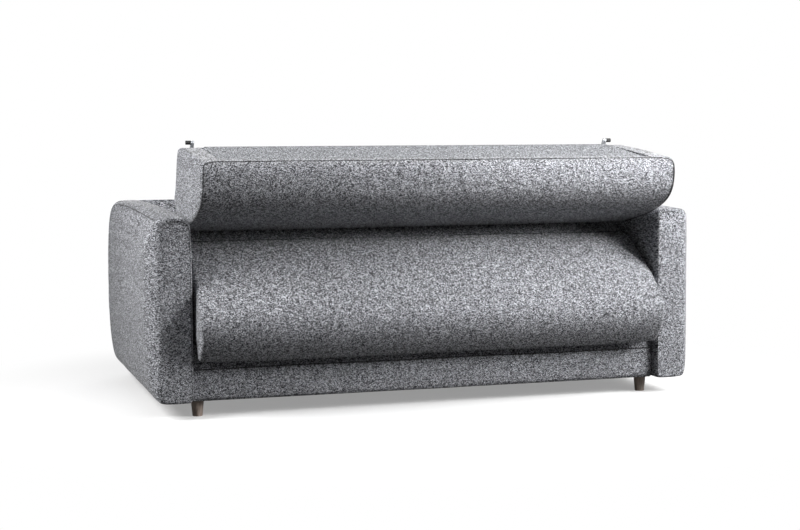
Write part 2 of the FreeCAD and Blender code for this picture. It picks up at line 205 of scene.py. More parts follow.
@dataclass(frozen=True)
class Tweed:
    """Melange wool-look upholstery weave: mixed near-white and near-black yarns, slightly hairy.

    A fleck of one colour is about 3 mm wide, 2 mm high and 9 mm deep, as in a thick slubbed
    tweed, and the shade drifts a little over clumps of 14 mm.
    """

    name: str = "woven_melange_tweed"
    dark: str = "131316"
    shade: str = "46474b"
    middle: str = "8b8c91"
    light: str = "d6d8de"
    fleck_mm: float = 1.9
    yarn_mm: float = 1.8
    clump_mm: float = 14.0
    relief: float = 0.6
    relief_mm: float = 1.2

    def build(self) -> bpy.types.Material:
        """Makes the material.

        Returns:
            The finished material.
        """
        material, tree, shader, coords = new_material(self.name)
        # Each yarn end is one cell, longest from front to back and flattest upward
        laid = node(tree, "ShaderNodeMapping", Vector=coords, Scale=(0.7, 0.22, 1.1))
        fleck = node(tree, "ShaderNodeTexVoronoi", Vector=laid.outputs["Vector"],
                     Scale=1 / (self.fleck_mm * MM))
        fuzz = node(tree, "ShaderNodeTexNoise", Vector=laid.outputs["Vector"],
                    Scale=1 / (self.yarn_mm * MM), Detail=2.0, Roughness=0.7)
        tone = node(tree, "ShaderNodeSeparateColor", Color=fleck.outputs["Color"])
        # The yarn's own tone and its fuzz add up to a value about the middle of the ramp
        dyed = node(tree, "ShaderNodeMath", {"operation": "MULTIPLY_ADD"}, i0=tone.outputs[0], i1=0.45,
                    i2=-0.375)
        woven = node(tree, "ShaderNodeMath", {"operation": "MULTIPLY_ADD"}, i0=fuzz.outputs["Fac"],
                     i1=1.3, i2=dyed.outputs[0])
        colour = ramp(tree, woven.outputs[0], [(0.30, self.dark), (0.44, self.shade),
                                               (0.56, self.middle), (0.74, self.light)])
        clump = node(tree, "ShaderNodeTexNoise", Vector=coords, Scale=1 / (self.clump_mm * MM),
                     Detail=2.0)
        patch = ramp(tree, clump.outputs["Fac"], [(0.36, "dcdcdc"), (0.64, "ffffff")])
        tinted = node(tree, "ShaderNodeMix", {"data_type": "RGBA", "blend_type": "MULTIPLY"}, i0=1.0,
                      i6=colour, i7=patch)
        bump = node(tree, "ShaderNodeBump", Strength=self.relief, Distance=self.relief_mm * MM,
                    Height=woven.outputs[0])
        tree.links.new(tinted.outputs[2], shader.inputs["Base Color"])
        tree.links.new(bump.outputs["Normal"], shader.inputs["Normal"])
        shader.inputs["Roughness"].default_value = 0.92
        shader.inputs["Specular IOR Level"].default_value = 0.25
        shader.inputs["Sheen Weight"].default_value = 0.16
        shader.inputs["Sheen Roughness"].default_value = 0.5
        return material


@dataclass(frozen=True)
class Plain:
    """A surface of one base colour with a fine grain, cloud and relief of a real size."""

    name: str
    low: str
    high: str
    grain_mm: float
    roughness: float
    metallic: float = 0.0
    relief: float = 0.2
    stretch: Triple = (1.0, 1.0, 1.0)
    wear: float = 0.08
    relief_mm: float = 0.4

    def build(self) -> bpy.types.Material:
        """Makes the material.

        Returns:
            The finished material.
        """
        material, tree, shader, coords = new_material(self.name)
        mapped = node(tree, "ShaderNodeMapping", Vector=coords, Scale=self.stretch)
        grain = node(tree, "ShaderNodeTexNoise", Vector=mapped.outputs["Vector"],
                     Scale=1 / (self.grain_mm * MM), Detail=4.0, Roughness=0.6)
        colour = ramp(tree, grain.outputs["Fac"], [(0.32, self.low), (0.68, self.high)])
        worn = node(tree, "ShaderNodeMapRange", Value=grain.outputs["Fac"],
                    To_Min=self.roughness - self.wear, To_Max=min(self.roughness + self.wear, 1.0))
        bump = node(tree, "ShaderNodeBump", Strength=self.relief, Distance=self.relief_mm * MM,
                    Height=grain.outputs["Fac"])
        tree.links.new(colour, shader.inputs["Base Color"])
        tree.links.new(worn.outputs["Result"], shader.inputs["Roughness"])
        tree.links.new(bump.outputs["Normal"], shader.inputs["Normal"])
        shader.inputs["Metallic"].default_value = self.metallic
        return material


@dataclass(frozen=True)
class Ticking:
    """Quilted melange ticking of the mattress pads, with a diamond quilting 70 mm apart."""

    name: str = "quilted_melange_ticking"
    quilt_mm: float = 70.0
    fleck_mm: float = 4.2
    relief_mm: float = 4.0

    def build(self) -> bpy.types.Material:
        """Makes the material.

        Returns:
            The finished material.
        """
        material, tree, shader, coords = new_material(self.name)
        yarn = node(tree, "ShaderNodeTexNoise", Vector=coords, Scale=1 / (self.fleck_mm * MM), Detail=2.0)
        colour = ramp(tree, yarn.outputs["Fac"], [(0.38, "1a1b1d"), (0.47, "505256"),
                                                  (0.55, "8e9095"), (0.66, "dadce0")])
        lines = []
        for turn in (math.radians(45), math.radians(-45)):
            turned = node(tree, "ShaderNodeMapping", Vector=coords, Rotation=(0.0, 0.0, turn))
            # A wave texture of scale 1 has bands 0.31 apart
            wave = node(tree, "ShaderNodeTexWave", {"bands_direction": "X"},
                        Vector=turned.outputs["Vector"], Scale=0.31 / (self.quilt_mm * MM), Distortion=0.0)
            line = node(tree, "ShaderNodeMath", {"operation": "POWER"}, i0=wave.outputs["Fac"], i1=0.35)
            lines.append(line.outputs[0])
        quilt = node(tree, "ShaderNodeMath", {"operation": "MINIMUM"}, i0=lines[0], i1=lines[1])
        bump = node(tree, "ShaderNodeBump", Strength=0.7, Distance=self.relief_mm * MM,
                    Height=quilt.outputs[0])
        tree.links.new(colour, shader.inputs["Base Color"])
        tree.links.new(bump.outputs["Normal"], shader.inputs["Normal"])
        shader.inputs["Roughness"].default_value = 0.85
        return material


class Finishes:
    """Every finish of the sofa bed, built once."""

    def __init__(self) -> None:
        """Builds the materials."""
        self.tweed = Tweed().build()
        # Seams lie in shadow: the same yarns, darker
        self.seam = Tweed(name="tweed_seam", dark="0b0b0c", shade="1d1d1f", middle="38393b",
                          light="77787b").build()
        self.ticking = Ticking().build()
        self.by_slot = {
            "tweed": self.tweed,
            "ticking": self.ticking,
            # Woven polypropylene support cloth: matt black, coarse threads
            "mesh": Plain("woven_support_cloth", "0f0f10", "2a2a2c", 3.0, 0.8, relief=0.6).build(),
            # Raw particle board: warm chips of 4 mm
            "board": Plain("raw_particle_board", "8f6f4a", "c8a878", 4.0, 0.75, relief=0.3).build(),
            # Turned beech with a taupe stain: grain runs up the leg
            "leg_wood": Plain("stained_beech", "7e6e64", "b3a59b", 5.0, 0.45, relief=0.15,
                              stretch=(1.0, 1.0, 0.12)).build(),
            # Moulded black rubber
            "rubber": Plain("moulded_rubber", "0b0b0b", "1a1a1a", 2.0, 0.6, relief=0.1).build(),
            # Black powder coat on steel: fine orange peel
            "steel": Plain("powder_coated_steel", "141415", "232325", 1.2, 0.45, relief=0.25).build(),
            # Zinc plated steel, rolled: long fine scratches
            "foot_steel": Plain("zinc_plated_steel", "8e9195", "c3c6cb", 1.0, 0.5, metallic=0.55, relief=0.1,
                                stretch=(1.0, 0.1, 1.0)).build(),
        }

    def dress_nodes(self, frame: dict) -> None:
        """Gives every CAD node its slot's finish.
        """
        slots = {row["node"]: row["material_slot"] for row in frame["record"]["subparts"]}
        for name, piece in frame["nodes"].items():
            piece.data.materials.clear()
            piece.data.materials.append(self.by_slot[slots[name]])


def add_mesh(name: str, points: np.ndarray, faces: np.ndarray, material: bpy.types.Material,
             weld: float = 0.01 * MM, smooth: bool = True) -> bpy.types.Object:
    """Puts arrays into a mesh object at the origin, with doubles merged and normals outward.

    Args:
        name: the piece's name.
        points: n by 3 places.
        faces: m by 4 corner numbers.
        material: the finish.
        weld: points nearer than this become one.
        smooth: whether the faces shade smooth.

    Returns:
        The object.
    """
    mesh = bpy.data.meshes.new(name)
    mesh.from_pydata(points.tolist(), [], faces.tolist())
    made = bmesh.new()
    made.from_mesh(mesh)
    bmesh.ops.remove_doubles(made, verts=made.verts, dist=weld)
    bmesh.ops.dissolve_degenerate(made, edges=made.edges, dist=weld)
    bmesh.ops.recalc_face_normals(made, faces=made.faces)
    made.to_mesh(mesh)
    made.free()
    mesh.polygons.foreach_set("use_smooth", np.full(len(mesh.polygons), smooth))
    mesh.materials.append(material)
    piece = bpy.data.objects.new(name, mesh)
    bpy.context.scene.collection.objects.link(piece)
    return piece


def grid_faces(rows: int, columns: int, wrap: bool) -> np.ndarray:
    """Corner numbers of a grid's quads, row by row.

    Args:
        rows: how many rows of points.
        columns: how many points in a row.
        wrap: whether the last column meets the first.

    Returns:
        m by 4 corner numbers.
    """
    r = np.arange(rows - 1)[:, None]
    c = np.arange(columns if wrap else columns - 1)[None, :]
    n = (c + 1) % columns
    quads = np.stack([r * columns + c, r * columns + n, (r + 1) * columns + n, (r + 1) * columns + c],
                     axis=-1)
    return quads.reshape(-1, 4)


def rounded(outline: list[Pair], count: int, cuts: int = 3) -> np.ndarray:
    """A closed outline with its corners cut again and again, then spaced evenly.

    Each pass replaces a corner by points a quarter and three quarters along its sides, which
    tends to a smooth curve.

    Args:
        outline: the corners.
        count: how many points come back.
        cuts: how many passes.

    Returns:
        count by 2 points.
    """
    points = np.array(outline, float)
    for _ in range(cuts):
        after = np.roll(points, -1, axis=0)
        points = np.stack([points * 0.75 + after * 0.25, points * 0.25 + after * 0.75], axis=1)
        points = points.reshape(-1, 2)
    loop = np.vstack([points, points[:1]])
    steps = np.r_[0, np.cumsum(np.hypot(*np.diff(loop, axis=0).T))]
    even = np.linspace(0, steps[-1], count, endpoint=False)
    return np.stack([np.interp(even, steps, loop[:, k]) for k in (0, 1)], axis=1)


def nearest_on(points: np.ndarray, start: Pair, end: Pair) -> np.ndarray:
    """For each point, the nearest place on a segment.

    Args:
        points: n by 2 places.
        start: the segment's one end.
        end: its other end.

    Returns:
        n by 2 places on the segment.
    """
    a, b = np.array(start), np.array(end)
    along = np.clip(((points - a) @ (b - a)) / ((b - a) @ (b - a)), 0, 1)
    return a + along[:, None] * (b - a)


def ripple(points: np.ndarray, size: float, wave: float, seed: int) -> np.ndarray:
    """A smooth random height at each point: a sum of eight plane waves about a wave length.

    Args:
        points: n by 3 places.
        size: the largest height.
        wave: the mean wave length.
        seed: picks the waves.

    Returns:
        n heights.
    """
    rng = np.random.default_rng(SEED + seed)
    total = np.zeros(len(points))
    waves = 8
    for _ in range(waves):
        way = rng.normal(size=3)
        way *= 2 * math.pi / (wave * rng.uniform(0.7, 1.6)) / np.linalg.norm(way)
        total += np.sin(points @ way + rng.uniform(0, 2 * math.pi))
    return size * total / (waves / 2)


@dataclass
class Padding:
    """A padded block: one outline carried along an axis, with rolled and puffed ends.

    The ends follow an arc of radius roll from the side to the face, then swell by puff towards
    the spine, the line inside the outline that the end face closes on. pull draws the outline in
    near the ends, and crown swells it at mid length.
    """

    outline: list[Pair]
    spine: tuple[Pair, Pair]
    low: float
    high: float
    roll: float = 14 * MM
    roll_high: float | None = None
    puff: float = 8 * MM
    pull: float = 5 * MM
    crown: float = 6 * MM
    count: int = 240
    rings: int = 150
    wrinkle: float = 1.2 * MM
    cuts: int = 3
    end_reach: float = 60 * MM

    def sections(self) -> tuple[np.ndarray, np.ndarray, np.ndarray]:
        """Works out where each ring lies and how it is drawn in.

        Returns:
            Each ring's place along the axis, how far it is drawn in, and its share of the way
            to the spine.
        """
        start = self.end_rings(self.roll)
        high = self.roll if self.roll_high is None else self.roll_high
        end = self.end_rings(high)
        length = self.high - self.low
        t = np.linspace(0, 1, self.rings)[1:-1]
        # Rings stand closer together towards the ends
        t = t - 0.06 * np.sin(2 * math.pi * t)
        middle = self.roll + t * (length - self.roll - high)
        still = np.zeros(len(middle))
        place = np.r_[start[0], middle, length - end[0][::-1]]
        inset = np.r_[start[1], still, end[1][::-1]]
        share = np.r_[start[2], still, end[2][::-1]]
        return place, inset, share

    def end_rings(self, roll: float) -> tuple[np.ndarray, np.ndarray, np.ndarray]:
        """One end's rings: across its face first, then round the roll to the side.

        Args:
            roll: the radius from the face to the side.

        Returns:
            Each ring's depth from the end, how far it is drawn in, and its share of the way to
            the spine.
        """
        arc = np.linspace(0, math.pi / 2, 9)
        face = np.linspace(1, 0, 14, endpoint=False)
        place = np.r_[-self.puff * np.sin(face * math.pi / 2), roll * (1 - np.cos(arc))]
        inset = np.r_[np.full(len(face), roll), roll * (1 - np.sin(arc))]
        return place, inset, np.r_[face, np.zeros(len(arc))]

    def grid(self) -> np.ndarray:
        """Works out the whole surface.

        Returns:
            Rings by points by (axis, u, v).
        """
        base = rounded(self.outline, self.count, self.cuts)
        core = nearest_on(base, *self.spine)
        away = base - core
        reach = np.linalg.norm(away, axis=1, keepdims=True)
        unit = away / np.maximum(reach, MM)
        place, inset, share = self.sections()
        length = self.high - self.low
        t = np.clip(place / length, 0, 1)
        edge = np.minimum(t, 1 - t) * length
        swell = self.crown * np.sin(math.pi * t) ** 0.6 - self.pull * np.exp(-(edge / self.end_reach) ** 2)
        out = reach[None] + swell[:, None, None] - inset[:, None, None]
        out = np.maximum(out, 0) * (1 - share[:, None, None])
        flat = core[None] + unit[None] * out
        axis = np.broadcast_to((self.low + place)[:, None, None], flat.shape[:2] + (1,))
        return np.concatenate([axis, flat], axis=2)


def block(name: str, padding: Padding, order: tuple[int, int, int], material: bpy.types.Material,
          place: "Place | None" = None, seed: int = 0) -> bpy.types.Object:
    """Makes a padded block.

    Args:
        name: the piece's name.
        padding: its form.
        order: which of (axis, u, v) is X, Y and Z.
        material: its finish.
        place: turns the finished points into the row frame, if they are drawn flat.
        seed: picks its wrinkles.

    Returns:
        The object.
    """
    grid = padding.grid()
    rows, columns = grid.shape[:2]
    points = grid.reshape(-1, 3)[:, list(order)]
    middle = points.mean(axis=0)
    way = points - middle
    way /= np.maximum(np.linalg.norm(way, axis=1, keepdims=True), MM)
    points = points + way * ripple(points, padding.wrinkle, WRINKLE_WAVE, seed)[:, None]
    if place is not None:
        points = place.move(points)
    return add_mesh(name, points, grid_faces(rows, columns, True), material)


@dataclass(frozen=True)
class Place:
    """A turn about X and a shift, from a unit's own plane to the row frame."""

    turn_deg: float
    y: float
    z: float

    def move(self, points: np.ndarray) -> np.ndarray:
        """Turns and shifts points.

        Args:
            points: n by 3 places in the unit's own plane.

        Returns:
            The same points in the row frame.
        """
        a = math.radians(self.turn_deg)
        out = points.copy()
        out[:, 1] = points[:, 1] * math.cos(a) - points[:, 2] * math.sin(a) + self.y
        out[:, 2] = points[:, 1] * math.sin(a) + points[:, 2] * math.cos(a) + self.z
        return out


def tube(name: str, path: np.ndarray, radius: float, material: bpy.types.Material) -> bpy.types.Object:
    """A thin round tube along a path, its ring square to the path's direction at each point.

    Args:
        name: the piece's name.
        path: n by 3 places.
        radius: the tube's radius.
        material: the finish.

    Returns:
        The object.
    """
    way = np.gradient(path, axis=0)
    way /= np.maximum(np.linalg.norm(way, axis=1, keepdims=True), 1e-9)
    # A path along X takes its ring from Z, and any other path from X
    along_x = np.abs(way[:, :1]) > 0.8
    helper = np.where(along_x, np.array([[0.0, 0.0, 1.0]]), np.array([[1.0, 0.0, 0.0]]))
    first = np.cross(way, helper)
    first /= np.linalg.norm(first, axis=1, keepdims=True)
    second = np.cross(way, first)
    turn = np.linspace(0, 2 * math.pi, 6, endpoint=False)
    ring = first[:, None] * np.cos(turn)[None, :, None] + second[:, None] * np.sin(turn)[None, :, None]
    grid = path[:, None] + ring * radius
    start = np.broadcast_to(path[0], grid[:1].shape)
    end = np.broadcast_to(path[-1], grid[:1].shape)
    grid = np.concatenate([start, grid, end])
    rows, columns = grid.shape[:2]
    return add_mesh(name, grid.reshape(-1, 3), grid_faces(rows, columns, True), material)


def carve(piece: bpy.types.Object, cutters: list[bpy.types.Object]) -> None:
    """Cuts closed boxes out of a piece, then removes them.

    Args:
        piece: what is cut.
        cutters: the boxes.
    """
    for cutter in cutters:
        tool = piece.modifiers.new("carve", "BOOLEAN")
        tool.operation = "DIFFERENCE"
        tool.solver = "EXACT"
        tool.object = cutter
        graph = bpy.context.evaluated_depsgraph_get()
        mesh = bpy.data.meshes.new_from_object(piece.evaluated_get(graph))
        piece.modifiers.clear()
        old = piece.data
        piece.data = mesh
        bpy.data.meshes.remove(old)
        bpy.data.objects.remove(cutter)


def block_tool(low: Triple, high: Triple, place: Place | None = None) -> bpy.types.Object:
    """A plain box to cut with, between two corners.

    Args:
        low: its lowest corner.
        high: its highest corner.
        place: turns it from a unit's own plane to the row frame.

    Returns:
        The box.
    """
    corners = np.array([[(low, high)[i][0], (low, high)[j][1], (low, high)[k][2]]
                        for i in (0, 1) for j in (0, 1) for k in (0, 1)])
    faces = np.array([[0, 1, 3, 2], [4, 6, 7, 5], [0, 4, 5, 1], [2, 3, 7, 6], [0, 2, 6, 4], [1, 5, 7, 3]])
    if place is not None:
        corners = place.move(corners)
    return add_mesh("tool", corners, faces, bpy.data.materials[0], smooth=False)


@dataclass
class SeatUnit:
    """The upholstered seat, tipped forward: a rolled front, a crowned top and a boxed end."""

    half_width: float = 0.748
    rear: float = 0.590
    lip: float = -0.022
    spine: tuple[Pair, Pair] = ((0.05, 0.06), (0.50, 0.05))
    place: Place = Place(36.0, 0.005 + FRAME_Y, 0.214)

    def outline(self) -> list[Pair]:
        """The side outline in the seat's own plane.

        Returns:
            (y, z) corners, to be rounded.
        """
        return [(-0.034, self.lip), (-0.024, self.lip), (-0.022, 0.0), (0.28, 0.0), (0.585, 0.0),
                (self.rear, 0.02), (0.583, 0.060), (0.556, 0.090), (0.520, 0.104), (0.44, 0.107),
                (0.395, 0.110), (0.352, 0.121), (0.30, 0.141), (0.18, 0.150), (0.06, 0.149),
                (-0.016, 0.136), (-0.046, 0.098), (-0.054, 0.052), (-0.050, 0.010), (-0.042, self.lip)]

    def build(self, finishes: Finishes) -> bpy.types.Object:
        """Makes the cushion and rides it on the seat.

        Args:
            finishes: the materials.

        Returns:
            The cushion.
        """
        padding = Padding(self.outline(), self.spine, -self.half_width, self.half_width,
                          roll=10 * MM, puff=2 * MM, pull=3 * MM, crown=3 * MM, cuts=2)
        cushion = block("seat_upholstery", padding, (0, 1, 2), finishes.tweed, self.place, seed=1)
        # The frame's recess, then a pocket for the seat lug and a slot for the foot at each end
        tools = [block_tool((-SEAT_RECESS_X, 0.0236, -0.06), (SEAT_RECESS_X, 0.5684, 0.072), self.place)]
        for side in Side:
            a, b = side.span(SEAT_POCKET_X)
            tools.append(block_tool((a, 0.028, -0.06), (b, 0.250, 0.124), self.place))
            a, b = side.span(FOOT_SLOT_X)
            tools.append(block_tool((a, 0.459, -0.06), (b, 0.70, 0.20), self.place))
        carve(cushion, tools)
        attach(cushion, "seat")
        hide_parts("seat_cushion")
        self.seams(finishes)
        return cushion

    def seams(self, finishes: Finishes) -> None:
        """Adds the end seams and the rear strip's seam.

        Args:
            finishes: the materials.
        """
        base = rounded(self.outline(), 240, 2)
        core = nearest_on(base, *self.spine)
        unit = (base - core) / np.linalg.norm(base - core, axis=1, keepdims=True)
        # The seam runs round the front and over the top, in order of angle
        keep = (base[:, 1] > 0.012) & (base[:, 0] < 0.42)
        order = np.argsort(np.arctan2(base[keep, 1] - 0.03, base[keep, 0] - 0.15))
        for side in Side:
            inward = base[keep][order] - unit[keep][order] * 7.5 * MM
            arc = np.full((len(inward), 1), side.value * (self.half_width - 9 * MM))
            bow = 11 * MM * np.sin(np.linspace(0, math.pi, len(inward)))[:, None] * side.value
            path = self.place.move(np.hstack([arc - bow, inward]))
            seam = tube(f"seat_end_seam_{side.name.lower()}", path, 2.0 * MM, finishes.seam)
            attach(seam, "seat")
        x = np.linspace(-self.half_width + 14 * MM, self.half_width - 14 * MM, 120)
        sway = 1.5 * MM * np.sin(x * 9)
        path = self.place.move(np.stack([x, 0.352 + sway, np.full_like(x, 0.1245)], axis=1))
        seam = tube("seat_rear_seam", path, 1.3 * MM, finishes.seam)
        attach(seam, "seat")


@dataclass
class BackUnit:
    """The upholstered back, folded down: a deep wedge with a seamed front panel."""

    half_width: float = 0.753
    tilt_deg: float = 8.0
    pivot: Pair = (0.390 + FRAME_Y, 0.686)
    ear_end: Pair = (0.228 + FRAME_Y, 0.765)
    ear_half: float = 0.015
    foot_sweep: float = 0.190

    @property
    def place(self) -> Place:
        """The pad's plane: tilted, and 0.807 m high at y = 0.140 m from the sofa's front."""
        return Place(self.tilt_deg, FRAME_Y, 0.807 - 0.140 * math.tan(math.radians(self.tilt_deg)))

    def outline(self) -> list[Pair]:
        """The side outline in the rest pose.

        Returns:
            (y, z) corners, to be rounded.
        """
        points = [(264, 547), (180, 563), (90, 580), (20, 597), (-41, 617), (-92, 640), (-125, 669),
                  (-139, 704), (-142, 738), (-134, 762), (-112, 774), (-80, 778), (40, 792),
                  (140, 803), (270, 815), (297, 804), (312, 775), (328, 728), (350, 680),
                  (381, 636), (330, 603)]
        return [(y * MM + FRAME_Y, z * MM) for y, z in points]

    def build(self, finishes: Finishes) -> bpy.types.Object:
        """Makes the cushion and rides it on the back.

        Args:
            finishes: the materials.

        Returns:
            The cushion.
        """
        spine = ((-0.03 + FRAME_Y, 0.705), (0.22 + FRAME_Y, 0.70))
        padding = Padding(self.outline(), spine, -self.half_width, self.half_width, roll=11 * MM,
                          puff=2 * MM, pull=0.0, crown=1 * MM, cuts=2)
        cushion = block("back_upholstery", padding, (0, 1, 2), finishes.tweed, seed=2)
        # The recess of the pad and its frame, then the slots of a foot and an ear at each end
        tools = [block_tool((-PAD_RECESS_X, -0.0854, -0.0644), (PAD_RECESS_X, 0.2354, 0.06), self.place)]
        for side in Side:
            tools.append(self.slot_tool(*side.span(FOOT_SLOT_X)))
            tools.append(self.ear_tool(*side.span(EAR_SLOT_X)))
        carve(cushion, tools)
        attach(cushion, "back")
        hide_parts("back_cushion")
        self.seams(finishes)
        return cushion

    def slot_tool(self, low: float, high: float) -> bpy.types.Object:
        """A disc around the back's axis, where the foot swings.

        Args:
            low: its lower x.
            high: its higher x.

        Returns:
            The tool.
        """
        turn = np.linspace(0, 2 * math.pi, 40, endpoint=False)
        y, z = self.pivot
        rim = np.stack([y + self.foot_sweep * np.cos(turn), z + self.foot_sweep * np.sin(turn)], axis=1)
        return self.prism_tool(rim, low, high)

    def ear_tool(self, low: float, high: float) -> bpy.types.Object:
        """A slot for the hinge ear.

        Args:
            low: its lower x.
            high: its higher x.

        Returns:
            The tool.
        """
        start = np.array(self.pivot)
        end = np.array(self.ear_end)
        way = (end - start) / np.linalg.norm(end - start)
        off = np.array([-way[1], way[0]]) * self.ear_half
        past = way * self.ear_half
        rim = np.array([start - off, end - off + past, end + off + past, start + off])
        return self.prism_tool(rim, low, high)

    def prism_tool(self, rim: np.ndarray, low: float, high: float) -> bpy.types.Object:
        """A closed prism across the sofa.

        Args:
            rim: its outline as (y, z).
            low: its lower x.
            high: its higher x.

        Returns:
            The tool.
        """
        middle = rim.mean(axis=0)
        rings = []
        for x, share in ((low, 0.0), (low, 1.0), (high, 1.0), (high, 0.0)):
            flat = middle + (rim - middle) * share
            rings.append(np.hstack([np.full((len(rim), 1), x), flat]))
        grid = np.stack(rings)
        return add_mesh("tool", grid.reshape(-1, 3), grid_faces(4, len(rim), True), bpy.data.materials[0],
                        smooth=False)

    def seams(self, finishes: Finishes) -> None:
        """Adds the seam round the front panel: along the top, round the corners and down each end.

        Args:
            finishes: the materials.
        """
        base = rounded(self.outline(), 480, 2)
        # The first point high up at the front, where the face turns over to the top
        top = int(np.argmax((base[:, 1] > 0.7705) & (base[:, 0] < -0.08 + FRAME_Y)))
        bend = 30 * MM
        half = self.half_width - 6 * MM
        x = np.linspace(bend - half, half - bend, 90)
        run = np.stack([x, np.full_like(x, base[top, 0]), np.full_like(x, base[top, 1] + 0.8 * MM)], axis=1)
        front = base[:top][base[:top, 0] < 0.24 + FRAME_Y][::-1]
        drop = np.r_[0, np.cumsum(np.hypot(*np.diff(front, axis=0).T))]
        reach = np.clip(1 - drop / bend, 0, 1)
        away = half - bend * (1 - np.sqrt(1 - reach ** 2))
        away += 2 * MM * np.clip(drop / 0.2, 0, 1)
        forward = front + np.array([-0.8 * MM, 0.0])
        ends = [np.stack([sign * away, forward[:, 0], forward[:, 1]], axis=1) for sign in (-1, 1)]
        path = np.vstack([ends[0][::-1], run, ends[1]])
        seam = tube("back_panel_seam", path, 2.0 * MM, finishes.seam)
        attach(seam, "back")


@dataclass
class Arm:
    """One upholstered arm: flat inside, bowed outside, with soft outer corners and a domed top."""

    side: Side
    inner: float = CLEAR_INSIDE
    outer: float = OUTER_FACE
    low: float = GAP_BELOW
    high: float = 0.612
    depth: float = 0.963
    corner: float = 0.046

    def outer_line(self) -> list[Pair]:
        """The outer face's line from the foot up: bowed, and drawn in at foot and crown.

        Returns:
            (x, z) corners of the right arm.
        """
        x1, z0, z1 = self.outer, self.low, self.high
        return [(x1 - 0.046, z0), (x1 - 0.026, z0 + 0.010), (x1 - 0.012, z0 + 0.040),
                (x1 - 0.005, z0 + 0.10), (x1, z0 + 0.20), (x1 + 0.001, z0 + 0.32), (x1 - 0.002, z1 - 0.14),
                (x1 - 0.006, z1 - 0.07), (x1 - 0.014, z1 - 0.028), (x1 - 0.032, z1 - 0.006),
                (x1 - 0.056, z1)]

    def outline(self) -> list[Pair]:
        """The whole front outline.

        Returns:
            (x, z) corners of the right arm.
        """
        x0, z0, z1 = self.inner, self.low, self.high
        inside = [(x0 + 0.03, z1), (x0 + 0.008, z1 - 0.006), (x0, z1 - 0.03), (x0, z0 + 0.30),
                  (x0, z0 + 0.04), (x0 + 0.003, z0 + 0.004), (x0 + 0.012, z0)]
        return self.outer_line() + inside

    def build(self, finishes: Finishes) -> None:
        """Makes the arm's cover and seams and rides them on the base.

        Args:
            finishes: the materials.
        """
        x_mid = (self.inner + self.outer) / 2
        name = self.side.name.lower()
        padding = Padding(self.outline(), ((x_mid, self.low + 0.07), (x_mid, self.high - 0.07)),
                          FRAME_Y, FRAME_Y + self.depth, roll=9 * MM, roll_high=1 * MM, puff=3 * MM, pull=0.0,
                          crown=0.0, count=240, rings=120, wrinkle=0.9 * MM, cuts=2)
        grid = padding.grid()
        rows, columns = grid.shape[:2]
        points = grid.reshape(-1, 3)[:, [1, 0, 2]]
        points[:, 0] += ripple(points, 1.0 * MM, 0.22, 20 + self.side.value)
        points = self.soften(points)
        points[:, 0] *= self.side.value
        cover = add_mesh(f"arm_upholstery_{name}", points, grid_faces(rows, columns, True), finishes.tweed)
        # The board inside is open to the floor
        a, b = self.side.span(ARM_BOARD_X)
        carve(cover, [block_tool((a, FRAME_Y + 0.052, 0.0), (b, FRAME_Y + 0.940, 0.568))])
        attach(cover, "base")
        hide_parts(f"arm_cover_{name}")
        self.seams(finishes, name)

    def soften(self, points: np.ndarray) -> np.ndarray:
        """Rounds the outer front corner in plan, lowers the front of the crown and lifts its rear.

        Args:
            points: n by 3 places on the right arm.

        Returns:
            The softened places.
        """
        out = points.copy()
        way_out = np.clip((points[:, 0] - (self.outer - self.corner)) / self.corner, 0, 1)
        near = np.clip(1 - (points[:, 1] - FRAME_Y) / (80 * MM), 0, 1)
        out[:, 1] += 38 * MM * way_out ** 2.2 * near
        out[:, 0] -= 10 * MM * near ** 2 * way_out
        upper = np.clip((points[:, 2] - (self.high - 0.16)) / 0.16, 0, 1) ** 2
        run = np.clip((points[:, 1] - FRAME_Y) / self.depth, 0, 1)
        out[:, 2] += upper * (-7 * MM + 23 * MM * np.sin(np.clip(run * 1.25, 0, 1) * math.pi / 2))
        dimple = np.exp(-((run - 0.80) / 0.10) ** 2 - ((points[:, 0] - 0.83) / 0.035) ** 2)
        out[:, 2] -= 5 * MM * upper * dimple
        return out

    def seams(self, finishes: Finishes, name: str) -> None:
        """Adds the welt: along the outer top edge, over the front and down the inner edge.

        A second stitch line runs beside it down the inner edge.

        Args:
            finishes: the materials.
            name: the side's name, which ends the pieces' names.
        """
        x0, x1, z1 = self.inner, self.outer, self.high
        run = np.array([(x1 - 0.030, y, z1 - 0.0085) for y in np.linspace(0.88, 0.05, 30)])
        turn = np.array([(x1 - 0.033, 0.030, z1 - 0.009), (x1 - 0.042, 0.012, z1 - 0.010),
                         (x1 - 0.056, 0.004, z1 - 0.011), (x1 - 0.074, 0.0, z1 - 0.011)])
        over = np.array([(x, 0.0, z1 - 0.011) for x in np.linspace(x1 - 0.09, x0 + 0.036, 8)])
        bend = np.array([(x0 + 0.022, 0.0, z1 - 0.014), (x0 + 0.012, 0.0, z1 - 0.023),
                         (x0 + 0.007, 0.0, z1 - 0.042)])
        down = np.array([(x0 + 0.006, 0.0, z) for z in np.linspace(z1 - 0.07, self.low + 0.012, 30)])
        paths = {"welt": (np.vstack([run, turn, over, bend, down]), 1.9 * MM),
                 "stitch": (np.vstack([bend[1:] + [0.008, 0, -0.006], down + [0.008, 0, 0]]), 0.9 * MM)}
        for label, (path, radius) in paths.items():
            path = path + np.array([0.0, FRAME_Y, 0.0])
            moved = self.soften(path)
            # On the front face the line stands proud, most of all on the rolled inner edge
            edge = path[:, 1] < FRAME_Y + 1 * MM
            moved[edge, 1] = FRAME_Y + 0.6 * MM + 2.2 * MM * np.clip(1 - (path[edge, 0] - x0) / 0.012, 0, 1)
            moved[:, 0] *= self.side.value
            seam = tube(f"arm_{label}_{name}", moved, radius, finishes.seam)
            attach(seam, "base")


